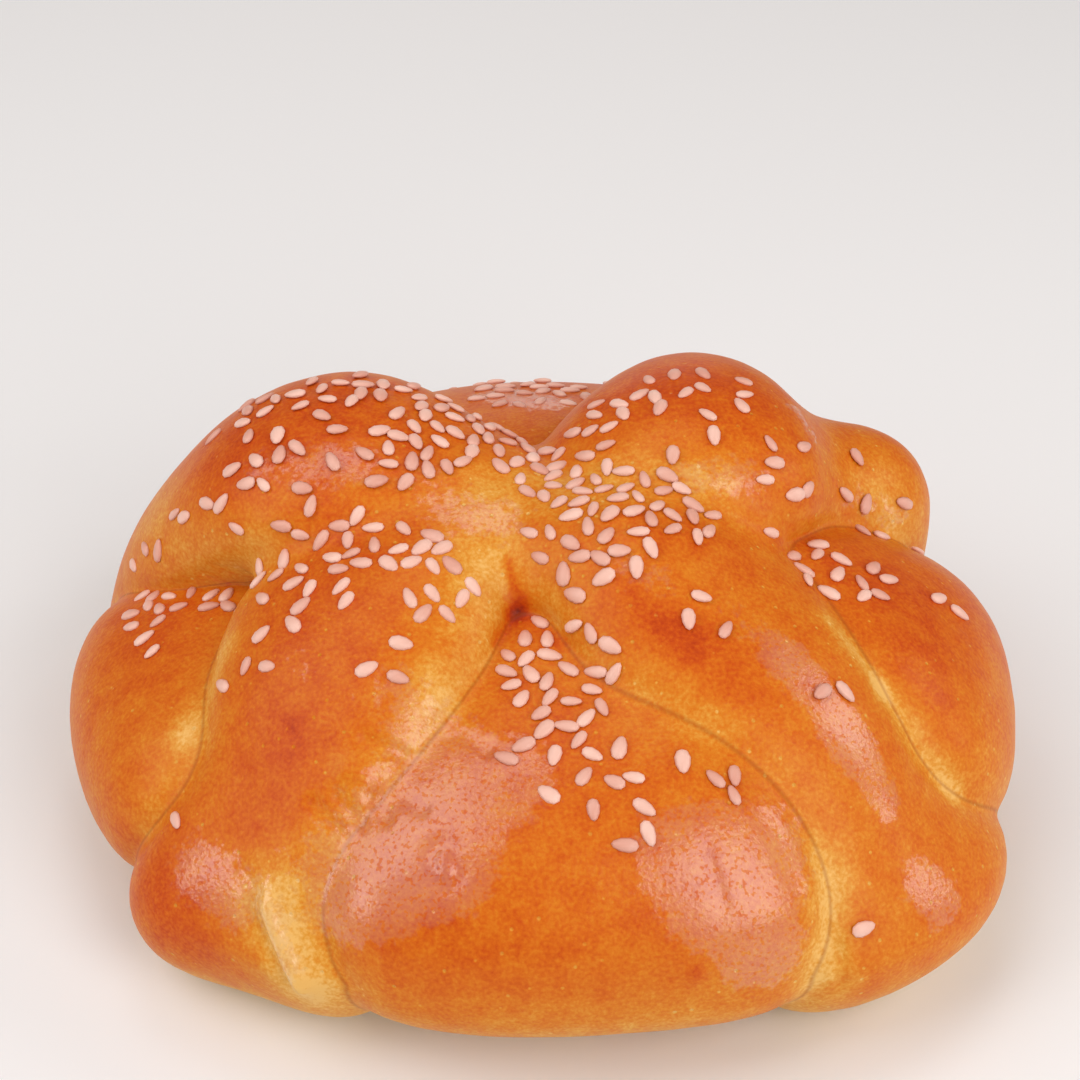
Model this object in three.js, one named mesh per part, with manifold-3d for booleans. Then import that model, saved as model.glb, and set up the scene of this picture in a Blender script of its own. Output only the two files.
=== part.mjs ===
// Pan de muerto: a round sweet bun with two crossed "bones" of dough baked onto it and sesame seeds on top.
// Millimetres, +Z up, origin on the table under the middle of the bun. -Y is the front, +X the right.
// Angles are in degrees. An azimuth is counted from +X towards +Y, and a polar angle from straight up.
import * as THREE from "three";
import { mergeVertices } from "three/addons/utils/BufferGeometryUtils.js";
import Module from "manifold-3d";

const { clamp, degToRad, radToDeg, euclideanModulo } = THREE.MathUtils;
const UP = new THREE.Vector3(0, 0, 1);
const wasm = await Module();
wasm.setup();

// ---- Driving dimensions ----

const HEART = new THREE.Vector3(0, 0, 16); // the point inside the bun that its shape is measured from
const SEAM = 2.6; // rounding where a bone meets the bun
const CROSSING_SEAM = 2.5; // rounding where the bones meet each other
const KNOB_SEAM = 8; // rounding between an arm and the knob at its end
const GROOVE = { depth: 1.1, width: 2.2 }; // the pinched line along each seam
const STEEPNESS = { bone: 0.9, bun: 0.75 }; // brings each field's slope near 1, so that fillets keep their size

// The round bun under the bones, as superellipse sections over and under the heart. Its skin is tucked in
// under each arm by a share of its reach, in a band that starts a little way out from the middle.
const BUN = { rise: 25.5, drop: 19, roundness: 2.3 };
const TUCK = { share: 0.18, width: 12, start: 4, fade: 3 };

// The bun swells out between the bones in four lobes: azimuth, reach and share of the rise.
const LOBE_WIDTH = 40;
const LOBES = [
  { azimuth: -120, reach: 56.5, rise: 1.06 }, // front
  { azimuth: -13, reach: 64, rise: 1.15 }, // right
  { azimuth: 82, reach: 60, rise: 1.12 }, // back
  { azimuth: 203, reach: 66, rise: 0.83 }, // left
];

// Each arm of a bone runs from the crossing down to the rim. Its crest (distance from the heart), half width
// and half thickness are given at five polar angles. It ends in a knob: azimuth, distance out, height, radii.
const STATION_STEP = 22.5;
const ARMS = [
  {
    // front left
    azimuth: 227.5,
    bow: -8,
    swing: 4.5,
    crest: [32.5, 36, 42, 50, 60],
    width: [13, 12.5, 18.5, 19, 17],
    thickness: [9, 10, 11.5, 10, 12],
    knob: { azimuth: 219, out: 48.5, height: 12, radii: [16, 11.5, 12] },
  },
  {
    // back right
    azimuth: 24.5,
    bow: 4.5,
    swing: 2.5,
    crest: [30.5, 43, 52, 51, 61],
    width: [12, 15, 19.5, 13.5, 14],
    thickness: [9, 11, 12.5, 9.5, 12],
    knob: { azimuth: 26.5, out: 47.5, height: 31, radii: [12.5, 11.5, 12.5] },
  },
  {
    // back left
    azimuth: 156.5,
    bow: -0.5,
    swing: 1.5,
    crest: [33, 40, 53.5, 59.5, 65.5],
    width: [13, 14.5, 18.5, 17, 16.5],
    thickness: [9, 10, 12.5, 11, 12],
    knob: { azimuth: 142, out: 50.5, height: 13, radii: [13, 14, 13] },
  },
  {
    // front right
    azimuth: -41,
    bow: 3,
    swing: -2.5,
    crest: [34, 39, 42.5, 53, 64],
    width: [12, 14, 19, 15.5, 18],
    thickness: [9, 10, 11.5, 10, 12],
    knob: { azimuth: -31.5, out: 52, height: 12, radii: [15, 16, 9.5] },
  },
];

// The skin's net: a square net laid over the bun like a cap, from the top to a ring under the flat foot.
const NET = { cells: 54, rimAngle: 112, footAngle: 140, turnUnder: 8 };
const RAY = { farthest: 90, stride: 1.5, halvings: 24 }; // how the skin is found along a ray

// A sesame seed: a flat teardrop, pointed at one end, sunk a little way into the crust.
const SEED = { length: 3.2, width: 2.2, thickness: 1.2, proud: 0.05, taper: 0.35, variation: 0.12 };
const SEED_GRIP = 0.12; // least share of a seed inside the crust; a seed with less would fall off
const SEED_FACES = { sides: 5, rings: 3 };
const SEED_SPACING = 4; // least distance between two seeds, centre to centre
const SEED_TRIES = 60; // draws for a place before a seed is left out

// Where the seeds lie, seen from above: middle, length, width and heading of each strewn patch.
const PATCHES = [
  { x: -7, y: 10, length: 30, width: 11, heading: -41, seeds: 15 }, // the ridge over the crossing, its back half
  { x: 10, y: -4, length: 26, width: 11, heading: -18, seeds: 13 }, // its front half
  { x: 7, y: 9, length: 12, width: 7, heading: 80, seeds: 4 }, // the inner edge of the back right arm
  { x: -30, y: 17, length: 30, width: 9, heading: 10, seeds: 5 }, // the top of the back left arm
  { x: -28, y: 10, length: 24, width: 10, heading: 0, seeds: 3 }, // under that top
  { x: -18, y: 6, length: 16, width: 10, heading: 70, seeds: 4 }, // beside the ridge
  { x: -31, y: 1, length: 24, width: 10, heading: -10, seeds: 3 }, // the flank of the back left arm
  { x: -24, y: -9, length: 28, width: 8, heading: -14, seeds: 10 }, // the shoulder of the front left arm
  { x: -46, y: 1, length: 28, width: 6, heading: -34, seeds: 5 }, // the top edge of the left lobe
  { x: -29, y: -14, length: 18, width: 7, heading: -20, seeds: 2 }, // under that shoulder
  { x: -12, y: -17, length: 13, width: 6, heading: 25, seeds: 2 }, // the inner end of that arm
  { x: -34, y: -21, length: 16, width: 8, heading: 40, seeds: 2 }, // the back of that arm
  { x: -19, y: -25, length: 16, width: 8, heading: -10, seeds: 1 }, // its right flank
  { x: -51, y: -4, length: 17, width: 12, heading: -40, seeds: 3 }, // the left lobe
  { x: -45, y: -34, length: 1, width: 1, heading: 0, seeds: 1 }, // the front left knob
  { x: 2, y: -25.5, length: 20, width: 13, heading: -68, seeds: 12 }, // the top of the front lobe
  { x: 8.5, y: -41, length: 15, width: 9, heading: -80, seeds: 4 }, // the middle of the front lobe
  { x: -3, y: -37, length: 14, width: 9, heading: -50, seeds: 2 }, // the left of the front lobe
  { x: 20, y: -39, length: 10, width: 4, heading: -20, seeds: 2 }, // the right of the front lobe
  { x: 6, y: -12, length: 20, width: 12, heading: -40, seeds: 6 }, // the inner end of the front right arm
  { x: 20, y: -21, length: 8, width: 6, heading: 0, seeds: 2 }, // the crest of that arm
  { x: 34, y: -26, length: 12, width: 4, heading: -25, seeds: 1 }, // the back of that arm
  { x: 38.5, y: -49, length: 7, width: 2, heading: -38, seeds: 1 }, // the front right knob
  { x: 34, y: -3, length: 16, width: 10, heading: -50, seeds: 5 }, // the inner end of the right lobe
  { x: 47, y: 11, length: 14, width: 6, heading: 20, seeds: 3 }, // the back of the right lobe
  { x: 42, y: -6, length: 8, width: 7, heading: 0, seeds: 2 }, // the top of the right lobe
  { x: 53, y: -5, length: 4, width: 3, heading: 0, seeds: 1 }, // the right of the right lobe
  { x: 20, y: 14, length: 16, width: 12, heading: 0, seeds: 4 }, // the top of the back right arm
  { x: 22, y: 5, length: 28, width: 8, heading: 10, seeds: 2 }, // the front of that arm
  { x: 43, y: 17, length: 3, width: 3, heading: 0, seeds: 1 }, // its end
  { x: -2, y: 38, length: 18, width: 13, heading: 0, seeds: 6 }, // the back lobe
  { x: 0, y: 47, length: 80, width: 20, heading: 0, seeds: 5 }, // strays round the back
];

// ---- The bread's shape, as a field that is negative inside ----

// The smaller of two fields, with a fillet of about size mm where they meet.
function blend(a, b, size) {
  const share = clamp(0.5 + (0.5 * (b - a)) / size, 0, 1);
  return b + (a - b) * share - size * share * (1 - share);
}

// A smooth curve through values given at even stations of the polar angle.
function atStation(values, angle) {
  const place = clamp(angle / STATION_STEP, 0, values.length - 1);
  const i = Math.min(Math.floor(place), values.length - 2);
  const slope = (k) => {
    const before = Math.max(k - 1, 0);
    const after = Math.min(k + 1, values.length - 1);
    return (values[after] - values[before]) / (after - before);
  };
  const t = place - i;
  const ease = t * t * (3 - 2 * t);
  const bend = t * (1 - t) * ((1 - t) * slope(i) - t * slope(i + 1));
  return values[i] * (1 - ease) + values[i + 1] * ease + bend;
}

// The coordinates of a point along and across a direction on the table.
function turned(point, azimuth) {
  const angle = degToRad(azimuth);
  const out = point.x * Math.cos(angle) + point.y * Math.sin(angle);
  const across = point.y * Math.cos(angle) - point.x * Math.sin(angle);
  return [out, across];
}

// The ellipsoid knob at the end of an arm.
function knobField(point, knob) {
  const [out, across] = turned(point, knob.azimuth);
  const [along, wide, high] = knob.radii;
  const distance = Math.hypot((out - knob.out) / along, across / wide, (point.z - knob.height) / high);
  return (distance - 1) * Math.min(along, wide, high) * STEEPNESS.bone;
}

// A tube that hugs the bun from the crossing to the rim. Its middle line bows sideways and swings at the end.
function armField(point, arm) {
  const [out, side] = turned(point, arm.azimuth);
  const height = point.z - HEART.z;
  const angle = radToDeg(Math.atan2(out, height));
  const reached = clamp(angle, 0, 90);
  const distance = Math.hypot(out, height);
  const thickness = atStation(arm.thickness, reached);
  const width = atStation(arm.width, reached);
  const middle = atStation(arm.crest, reached) - thickness;
  const across = side - arm.bow * Math.sin(degToRad(2 * reached)) - arm.swing * (reached / 90) ** 2;
  const past = degToRad(angle - reached) * distance;
  const tube = Math.hypot((distance - middle) / thickness, across / width, past / width) - 1;
  return blend(tube * Math.min(thickness, width) * STEEPNESS.bone, knobField(point, arm.knob), KNOB_SEAM);
}

// The bun alone.
function bunField(point) {
  const u = point.clone().sub(HEART);
  const distance = u.length() + 1e-9;
  const flat = Math.hypot(u.x, u.y);
  const azimuth = radToDeg(Math.atan2(u.y, u.x));
  let [weights, reach, rise] = [0, 0, 0];
  for (const lobe of LOBES) {
    const away = euclideanModulo(azimuth - lobe.azimuth + 180, 360) - 180;
    const weight = Math.exp(-((away / LOBE_WIDTH) ** 2));
    weights += weight;
    reach += weight * lobe.reach;
    rise += weight * lobe.rise;
  }
  reach /= weights;
  for (const arm of ARMS) {
    const [out, across] = turned(point, arm.azimuth);
    const on = 1 / (1 + Math.exp((TUCK.start - out) / TUCK.fade));
    reach *= 1 - TUCK.share * on * Math.exp(-((across / TUCK.width) ** 2));
  }
  const tall = u.z >= 0 ? (BUN.rise * rise) / weights : BUN.drop;
  const n = BUN.roundness;
  const sum = (flat / distance / reach) ** n + (Math.abs(u.z) / distance / tall) ** n;
  return (distance - sum ** (-1 / n)) * STEEPNESS.bun;
}

// Bun and bones together, pinched along the seams and cut off flat at the foot.
function breadField(point) {
  const [first, ...rest] = ARMS.map((arm) => armField(point, arm));
  const bones = rest.reduce((field, arm) => blend(field, arm, CROSSING_SEAM), first);
  const bun = bunField(point);
  const pinch = GROOVE.depth * Math.exp(-(((bones - bun) / GROOVE.width) ** 2));
  const bread = blend(bones, bun, SEAM) + pinch;
  return Math.max(bread, -point.z);
}

// The outermost point of the bread along a ray, stepped to from outside and then halved down to.
function skinPoint(start, direction) {
  const at = (distance) => start.clone().addScaledVector(direction, distance);
  let outside = RAY.farthest;
  while (outside > RAY.stride && breadField(at(outside - RAY.stride)) > 0) outside -= RAY.stride;
  let inside = outside - RAY.stride;
  for (let i = 0; i < RAY.halvings; i++) {
    const middle = (inside + outside) / 2;
    if (breadField(at(middle)) > 0) outside = middle;
    else inside = middle;
  }
  return at(outside);
}

// The direction in which the field rises, straight out of the skin.
function skinNormal(point) {
  const step = 0.1;
  const slope = ["x", "y", "z"].map((axis) => {
    const [more, less] = [point.clone(), point.clone()];
    more[axis] += step;
    less[axis] -= step;
    return breadField(more) - breadField(less);
  });
  return new THREE.Vector3(...slope).normalize();
}

// ---- Solids ----

// A square net's point (a, b), each from -1 to 1, laid on a disc without crowding, and the disc over the bun.
function netDirection(a, b) {
  const edge = Math.max(Math.abs(a), Math.abs(b));
  if (edge === 0) return UP;
  const turn = Math.abs(a) >= Math.abs(b) ? (Math.PI / 4) * (b / a) : Math.PI / 2 - (Math.PI / 4) * (a / b);
  const azimuth = turn + ((Math.abs(a) >= Math.abs(b) ? a : b) < 0 ? Math.PI : 0);
  const under = NET.footAngle - NET.rimAngle;
  const polar = degToRad(NET.rimAngle * edge + under * edge ** NET.turnUnder);
  const flat = Math.sin(polar);
  return new THREE.Vector3(flat * Math.cos(azimuth), flat * Math.sin(azimuth), Math.cos(polar));
}

// A closed geometry as a solid that can be cut and joined.
function solidOf(geometry) {
  geometry.deleteAttribute("normal");
  geometry.deleteAttribute("uv");
  const merged = mergeVertices(geometry, 1e-5);
  return new wasm.Manifold(
    new wasm.Mesh({
      numProp: 3,
      vertProperties: new Float32Array(merged.attributes.position.array),
      triVerts: new Uint32Array(merged.index.array),
    }),
  );
}

// How far the middle of a straight edge lies off the skin.
function gapUnder(start, end) {
  return Math.abs(breadField(start.clone().lerp(end, 0.5)));
}

// The skin over the net, closed by a fan of triangles on the flat foot. Each cell is split along the diagonal
// that stays nearer the skin, so that the creases run clean, or along the net's own where that crosses it.
function breadSolid() {
  const { cells } = NET;
  const row = cells + 1;
  const points = [];
  for (let j = 0; j <= cells; j++) {
    for (let i = 0; i <= cells; i++) {
      const direction = netDirection((2 * i) / cells - 1, (2 * j) / cells - 1);
      points.push(skinPoint(HEART, direction));
    }
  }
  const faces = [];
  for (let j = 0; j < cells; j++) {
    for (let i = 0; i < cells; i++) {
      const [a, b, c, d] = [j * row + i, j * row + i + 1, (j + 1) * row + i + 1, (j + 1) * row + i];
      const nearer = gapUnder(points[a], points[c]) < gapUnder(points[b], points[d]);
      if (i === j || (nearer && i + j !== cells - 1)) faces.push(a, b, c, a, c, d);
      else faces.push(a, b, d, b, c, d);
    }
  }
  const rim = [];
  for (let i = 0; i < cells; i++) rim.push(i);
  for (let j = 0; j < cells; j++) rim.push(j * row + cells);
  for (let i = cells; i > 0; i--) rim.push(cells * row + i);
  for (let j = cells; j > 0; j--) rim.push(j * row);
  const middle = points.push(new THREE.Vector3(0, 0, 0)) - 1;
  rim.forEach((k, i) => faces.push(rim[(i + 1) % rim.length], k, middle));
  for (const point of points) if (point.z < 1e-3) point.z = 0;
  const geometry = new THREE.BufferGeometry().setFromPoints(points);
  return solidOf(geometry.setIndex(faces));
}

// A repeatable draw from 0 to 1.
function draw(number) {
  const wave = Math.sin(number * 12.9898 + 4.1414) * 43758.5453;
  return wave - Math.floor(wave);
}

// The places of the seeds: each patch is strewn at random, and a place too near another seed is drawn again.
function seedPlaces() {
  const places = [];
  let number = 0;
  for (const patch of PATCHES) {
    const heading = degToRad(patch.heading);
    for (let seed = 0; seed < patch.seeds; seed++) {
      for (let tries = 0; tries < SEED_TRIES; tries++) {
        number += 1;
        const out = draw(number) ** 0.6 / 2;
        const turn = 2 * Math.PI * draw(number + 0.5);
        const [along, across] = [out * Math.cos(turn) * patch.length, out * Math.sin(turn) * patch.width];
        const x = patch.x + along * Math.cos(heading) - across * Math.sin(heading);
        const y = patch.y + along * Math.sin(heading) + across * Math.cos(heading);
        if (places.some((other) => Math.hypot(other.x - x, other.y - y) < SEED_SPACING)) continue;
        places.push({ x, y, number });
        break;
      }
    }
  }
  return places;
}

// One seed where it fell, lying on the crust with its point turned at random.
function seedSolid({ x, y, number }) {
  const shape = new THREE.SphereGeometry(0.5, SEED_FACES.sides, SEED_FACES.rings).rotateZ(-Math.PI / 2);
  const corners = shape.attributes.position;
  for (let i = 0; i < corners.count; i++) {
    const narrow = 1 - SEED.taper * (corners.getX(i) + 0.5);
    corners.setXYZ(i, corners.getX(i), corners.getY(i) * narrow, corners.getZ(i) * narrow);
  }
  const size = 1 + SEED.variation * (2 * draw(number + 0.25) - 1);
  shape.scale(SEED.length * size, SEED.width * size, SEED.thickness * size);
  const place = skinPoint(new THREE.Vector3(x, y, 0), UP);
  const normal = skinNormal(place);
  const turn = 2 * Math.PI * draw(number + 0.75);
  const side = new THREE.Vector3(Math.cos(turn), Math.sin(turn), 0).cross(normal).normalize();
  const ahead = side.clone().cross(normal);
  const frame = new THREE.Matrix4().makeBasis(ahead, side, normal);
  frame.setPosition(place.addScaledVector(normal, SEED.proud));
  return solidOf(shape.applyMatrix4(frame));
}

// The bread with its seeds baked on, as one piece.
function seededBread() {
  let bread = breadSolid();
  for (const place of seedPlaces()) {
    const seed = seedSolid(place);
    const gripped = bread.intersect(seed).volume() / seed.volume();
    if (gripped > SEED_GRIP) bread = bread.add(seed);
  }
  const { vertProperties, triVerts } = bread.getMesh();
  const geometry = new THREE.BufferGeometry();
  geometry.setAttribute("position", new THREE.BufferAttribute(vertProperties, 3));
  geometry.setIndex(new THREE.BufferAttribute(triVerts, 1));
  geometry.computeVertexNormals();
  return geometry;
}

const crust = new THREE.MeshStandardMaterial({ color: "#d9702d", roughness: 0.35, metalness: 0 });
const bread = new THREE.Mesh(seededBread(), crust);
bread.name = "bread";

const part = new THREE.Group();
part.add(bread);
export default part;
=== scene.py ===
import math
import bpy
import numpy as np
from mathutils import Matrix, Vector


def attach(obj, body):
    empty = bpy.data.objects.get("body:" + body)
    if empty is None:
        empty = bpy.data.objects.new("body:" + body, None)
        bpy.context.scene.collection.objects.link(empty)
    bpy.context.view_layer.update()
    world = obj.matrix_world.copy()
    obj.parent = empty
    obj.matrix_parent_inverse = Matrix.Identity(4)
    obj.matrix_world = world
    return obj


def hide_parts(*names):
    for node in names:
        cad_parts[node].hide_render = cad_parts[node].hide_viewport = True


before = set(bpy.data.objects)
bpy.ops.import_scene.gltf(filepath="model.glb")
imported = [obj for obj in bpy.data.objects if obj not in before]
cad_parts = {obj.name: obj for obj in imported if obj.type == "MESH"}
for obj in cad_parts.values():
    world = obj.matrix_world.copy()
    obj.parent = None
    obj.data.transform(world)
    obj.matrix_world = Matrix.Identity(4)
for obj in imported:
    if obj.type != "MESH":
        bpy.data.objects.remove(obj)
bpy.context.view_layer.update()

mm = 0.001  # the frame is in metres, and every size below is in millimetres

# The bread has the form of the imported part, on a finer net.
# Angles are in degrees: an azimuth runs from +X towards +Y, a polar angle from straight up at the heart.
breadForm = {
    "heart": 16.0,  # height of the point that the form is measured from
    "seam": 2.6, "crossingSeam": 2.5, "knobSeam": 8.0,  # fillets
    "groove": 0.7, "grooveWidth": 1.4,  # pinched line along each seam
    "rise": 25.5, "drop": 19.0, "roundness": 2.3,
    "tuck": 0.18, "tuckWidth": 12.0, "tuckStart": 4.0, "tuckFade": 3.0,
    "lobeWidth": 40.0, "stationStep": 22.5, "armEnd": 90.0,
    "boneSteepness": 0.9, "bunSteepness": 0.75,
}
lobes = [  # azimuth, reach, share of the rise
    (-120, 56.5, 1.06), (-13, 64, 1.15), (82, 60, 1.12), (203, 66, 0.83),
]
arms = {  # crest, half width and thickness at five polar angles, one step apart, then the knob at the end
    "frontLeft": {
        "azimuth": 227.5, "bow": -8, "swing": 4.5,
        "crest": [32.5, 36, 42, 50, 60],
        "width": [13, 12.5, 18.5, 19, 17],
        "thickness": [9, 10, 11.5, 10, 12],
        "knob": {"azimuth": 219, "out": 48.5, "height": 12, "radii": (16, 11.5, 12)},
    },
    "backRight": {
        "azimuth": 24.5, "bow": 4.5, "swing": 2.5,
        "crest": [30.5, 43, 52, 51, 61],
        "width": [12, 15, 19.5, 13.5, 14],
        "thickness": [9, 11, 12.5, 9.5, 12],
        "knob": {"azimuth": 26.5, "out": 47.5, "height": 31, "radii": (12.5, 11.5, 12.5)},
    },
    "backLeft": {
        "azimuth": 156.5, "bow": -0.5, "swing": 1.5,
        "crest": [33, 40, 53.5, 59.5, 65.5],
        "width": [13, 14.5, 18.5, 17, 16.5],
        "thickness": [9, 10, 12.5, 11, 12],
        "knob": {"azimuth": 142, "out": 50.5, "height": 13, "radii": (13, 14, 13)},
    },
    "frontRight": {
        "azimuth": -41, "bow": 3, "swing": -2.5,
        "crest": [34, 39, 42.5, 53, 64],
        "width": [12, 14, 19, 15.5, 18],
        "thickness": [9, 10, 11.5, 10, 12],
        "knob": {"azimuth": -31.5, "out": 52, "height": 12, "radii": (15, 16, 9.5)},
    },
}


# blend = the smaller of a and b, less a fillet: b + (a - b) h - size h (1 - h), h = 1/2 + (b - a) / (2 size)
def blend(a, b, size):
    share = np.clip(0.5 + 0.5 * (b - a) / size, 0, 1)
    return b + (a - b) * share - size * share * (1 - share)


# cubic through values at even stations: y0 (1 - e) + y1 e + t (1 - t) ((1 - t) m0 - t m1), e = t t (3 - 2 t)
def atStation(values, angle):
    values = np.array(values, float)
    slopes = np.gradient(values)
    place = np.clip(angle / breadForm["stationStep"], 0, len(values) - 1)
    i = np.minimum(place.astype(int), len(values) - 2)
    t = place - i
    ease = t * t * (3 - 2 * t)
    bend = t * (1 - t) * ((1 - t) * slopes[i] - t * slopes[i + 1])
    return values[i] * (1 - ease) + values[i + 1] * ease + bend


# out = x cos A + y sin A, across = y cos A - x sin A
def turned(p, azimuth):
    c, s = math.cos(math.radians(azimuth)), math.sin(math.radians(azimuth))
    return p[..., 0] * c + p[..., 1] * s, p[..., 1] * c - p[..., 0] * s


# ellipsoid: (|(out - D) / rx, across / ry, (z - h) / rz| - 1) times its smallest radius and the steepness
def knobField(p, knob):
    out, across = turned(p, knob["azimuth"])
    rx, ry, rz = knob["radii"]
    up = p[..., 2] - knob["height"]
    far = np.sqrt(((out - knob["out"]) / rx) ** 2 + (across / ry) ** 2 + (up / rz) ** 2)
    return (far - 1) * min(knob["radii"]) * breadForm["boneSteepness"]


# tube along the arm: (|(r - spine) / thickness, across / width, past / width| - 1) min(thickness, width)
# times the steepness, where r and the polar angle are taken in the arm's own upright plane; the bow is
# greatest halfway down and the swing at the rim; then blended with the knob
def armField(p, arm):
    out, side = turned(p, arm["azimuth"])
    height = p[..., 2] - breadForm["heart"]
    angle = np.degrees(np.arctan2(out, height))
    reached = np.clip(angle, 0, breadForm["armEnd"])
    r = np.hypot(out, height)
    thickness = atStation(arm["thickness"], reached)
    width = atStation(arm["width"], reached)
    spine = atStation(arm["crest"], reached) - thickness
    bow = arm["bow"] * np.sin(np.radians(2 * reached))
    across = side - bow - arm["swing"] * (reached / breadForm["armEnd"]) ** 2
    past = np.radians(angle - reached) * r
    tube = np.sqrt(((r - spine) / thickness) ** 2 + (across / width) ** 2 + (past / width) ** 2) - 1
    tube = tube * np.minimum(thickness, width) * breadForm["boneSteepness"]
    return blend(tube, knobField(p, arm["knob"]), breadForm["knobSeam"])


# superellipse section: r - ((sin a / reach)^n + (cos a / tall)^n)^(-1/n), times the steepness, reach being
# the lobes' weighted mean, less the tuck under each arm
def bunField(p):
    u = p - np.array([0, 0, breadForm["heart"]])
    r = np.sqrt((u ** 2).sum(-1)) + 1e-9
    azimuth = np.degrees(np.arctan2(u[..., 1], u[..., 0]))
    weights, reach, rise = 0, 0, 0
    for lobeAzimuth, lobeReach, lobeRise in lobes:
        away = (azimuth - lobeAzimuth + 180) % 360 - 180
        weight = np.exp(-(away / breadForm["lobeWidth"]) ** 2)
        weights, reach, rise = weights + weight, reach + weight * lobeReach, rise + weight * lobeRise
    reach = reach / weights
    for arm in arms.values():
        out, across = turned(p, arm["azimuth"])
        on = 1 / (1 + np.exp(np.clip((breadForm["tuckStart"] - out) / breadForm["tuckFade"], -50, 50)))
        reach = reach * (1 - breadForm["tuck"] * on * np.exp(-(across / breadForm["tuckWidth"]) ** 2))
    tall = np.where(u[..., 2] >= 0, breadForm["rise"] * rise / weights, breadForm["drop"])
    n = breadForm["roundness"]
    level = (np.hypot(u[..., 0], u[..., 1]) / r / reach) ** n + (np.abs(u[..., 2]) / r / tall) ** n
    return (r - level ** (-1 / n)) * breadForm["bunSteepness"]


# the four arms, each blended with those before it
def bonesField(p):
    bones = None
    for arm in arms.values():
        field = armField(p, arm)
        bones = field if bones is None else blend(bones, field, breadForm["crossingSeam"])
    return bones


# bread = blend(bones, bun) + groove exp(-((bones - bun) / width)^2), cut off flat at z = 0
def breadField(p):
    bones, bun = bonesField(p), bunField(p)
    pinch = breadForm["groove"] * np.exp(-((bones - bun) / breadForm["grooveWidth"]) ** 2)
    return np.maximum(blend(bones, bun, breadForm["seam"]) + pinch, -p[..., 2])


# the outermost zero of the field along each ray: strides from outside, then halvings
def skinPoints(start, direction, farthest=90.0, stride=1.5, halvings=16):
    direction = np.broadcast_to(direction, np.broadcast_shapes(start.shape, direction.shape))
    start = np.broadcast_to(start, direction.shape)
    outside = np.full(len(direction), farthest)
    going = np.arange(len(direction))
    while len(going):
        inner = outside[going] - stride
        field = breadField(start[going] + direction[going] * inner[:, None])
        going = going[(field > 0) & (inner > stride)]
        outside[going] -= stride
    inside = outside - stride
    for _ in range(halvings):
        middle = (inside + outside) / 2
        out = breadField(start + direction * middle[:, None]) > 0
        outside, inside = np.where(out, middle, outside), np.where(out, inside, middle)
    return start + direction * outside[:, None]


# unit gradient of the field by central differences
def skinNormals(p, step=0.15):
    slope = np.stack([breadField(p + step * axis) - breadField(p - step * axis) for axis in np.eye(3)], -1)
    return slope / np.linalg.norm(slope, axis=-1, keepdims=True)


# value noise: each lattice corner has a value in -1..1, hashed from its place by large primes, and eased
# between corners by t t (3 - 2 t)
def noise(p, size, seed=0):
    q = p / size
    cell = np.floor(q).astype(np.int64)
    t = q - cell
    t = t * t * (3 - 2 * t)
    total = 0
    for corner in np.ndindex(2, 2, 2):
        c = cell + np.array(corner)
        mixed = (c[..., 0] * 73856093) ^ (c[..., 1] * 19349663) ^ (c[..., 2] * 83492791) ^ (seed * 2654435761)
        mixed = ((mixed ^ (mixed >> 13)) * 1274126177) & 0x7FFFFFFF
        value = (mixed % 65536) / 32767.5 - 1
        weight = np.prod(np.where(np.array(corner) == 1, t, 1 - t), axis=-1)
        total = total + weight * value
    return total


# a square net (a, b) in -1..1 laid on a disc: edge = max(|a|, |b|), azimuth = 45 b/a or 90 - 45 a/b,
# polar angle = rim edge + (foot - rim) edge^8
def netDirections(cells, rimAngle=112.0, footAngle=140.0, turnUnder=8):
    line = np.linspace(-1, 1, cells + 1)
    a, b = np.meshgrid(line, line)
    a, b = a.ravel(), b.ravel()
    edge = np.maximum(np.abs(a), np.abs(b))
    wide = np.abs(a) >= np.abs(b)
    safe = np.where(edge == 0, 1, np.where(wide, a, b))
    turn = np.where(wide, math.pi / 4 * b / safe, math.pi / 2 - math.pi / 4 * a / safe)
    azimuth = turn + np.where(safe < 0, math.pi, 0)
    polar = np.radians(rimAngle * edge + (footAngle - rimAngle) * edge ** turnUnder)
    return np.stack([np.sin(polar) * np.cos(azimuth), np.sin(polar) * np.sin(azimuth), np.cos(polar)], -1)


# faces of the net, each cell split along the diagonal whose middle stays nearer the skin, or along the net's
# own where that crosses it, and a fan that closes the foot
def netFaces(points, cells):
    j, i = np.divmod(np.arange(cells * cells), cells)
    a = j * (cells + 1) + i
    b, c, d = a + 1, a + cells + 2, a + cells + 1
    near = np.abs(breadField((points[a] + points[c]) / 2)) < np.abs(breadField((points[b] + points[d]) / 2))
    near = np.where(i == j, True, np.where(i + j == cells - 1, False, near))[:, None]
    first = np.where(near, np.stack([a, b, c], 1), np.stack([a, b, d], 1))
    second = np.where(near, np.stack([a, c, d], 1), np.stack([b, c, d], 1))
    side = np.arange(cells)
    row = cells + 1
    rim = np.concatenate([side, side * row + cells, cells * row + cells - side, (cells - side) * row])
    fan = np.stack([np.roll(rim, -1), rim, np.full(len(rim), len(points) - 1)], 1)
    return np.concatenate([first, second, fan])


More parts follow.
